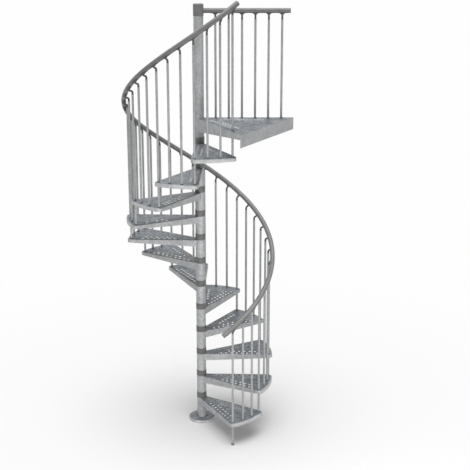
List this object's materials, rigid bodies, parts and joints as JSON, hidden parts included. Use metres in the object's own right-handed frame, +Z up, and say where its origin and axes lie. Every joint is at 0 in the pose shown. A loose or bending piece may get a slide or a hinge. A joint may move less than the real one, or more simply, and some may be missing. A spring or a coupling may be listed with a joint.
{
  "type": "spiral staircase",
  "caption": "Outdoor spiral staircase in galvanised steel: perforated wedge treads on a central column, round balusters, a helical handrail and a triangular landing.",
  "frame": {"origin": "on the column axis at floor level, in the middle of the base plate's underside", "axes": "+Z up along the column; +X along the landing rail, away from the column; the stair climbs anticlockwise about +Z"},
  "size_m": [1.5564, 1.4744, 4.0896],
  "materials": {
    "galvanised_tube": "hot-dip galvanised, matt with a soft spangle",
    "galvanised_sheet": "hot-dip galvanised sheet, dull blue grey with a mottled spangle",
    "dark_plastic": "moulded plastic, satin dark grey",
    "rail_plastic": "extruded plastic tube, satin mid grey"
  },
  "bodies": {
    "root": {"base_plate": "galvanised_tube", "centre_pole": "galvanised_tube", "hub_tubes": "galvanised_tube", "spacer_rings": "dark_plastic", "tread_01": "galvanised_sheet", "tread_02": "galvanised_sheet", "tread_03": "galvanised_sheet", "tread_04": "galvanised_sheet", "tread_05": "galvanised_sheet", "tread_06": "galvanised_sheet", "tread_07": "galvanised_sheet", "tread_08": "galvanised_sheet", "tread_09": "galvanised_sheet", "tread_10": "galvanised_sheet", "tread_11": "galvanised_sheet", "tread_12": "galvanised_sheet", "balusters_01": "galvanised_tube", "balusters_02": "galvanised_tube", "balusters_03": "galvanised_tube", "balusters_04": "galvanised_tube", "balusters_05": "galvanised_tube", "balusters_06": "galvanised_tube", "balusters_07": "galvanised_tube", "balusters_08": "galvanised_tube", "balusters_09": "galvanised_tube", "balusters_10": "galvanised_tube", "balusters_11": "galvanised_tube", "balusters_12": "galvanised_tube", "end_baluster": "galvanised_tube", "floor_foot": "dark_plastic", "baluster_collars": "dark_plastic", "handrail": "rail_plastic", "rail_connectors": "dark_plastic", "landing_deck": "galvanised_sheet", "landing_edge_plate": "galvanised_tube", "landing_hub": "galvanised_tube", "top_post": "galvanised_tube", "post_cap": "dark_plastic", "landing_rail": "rail_plastic", "landing_balusters": "galvanised_tube", "landing_connectors": "dark_plastic"}
  },
  "joints": []
}
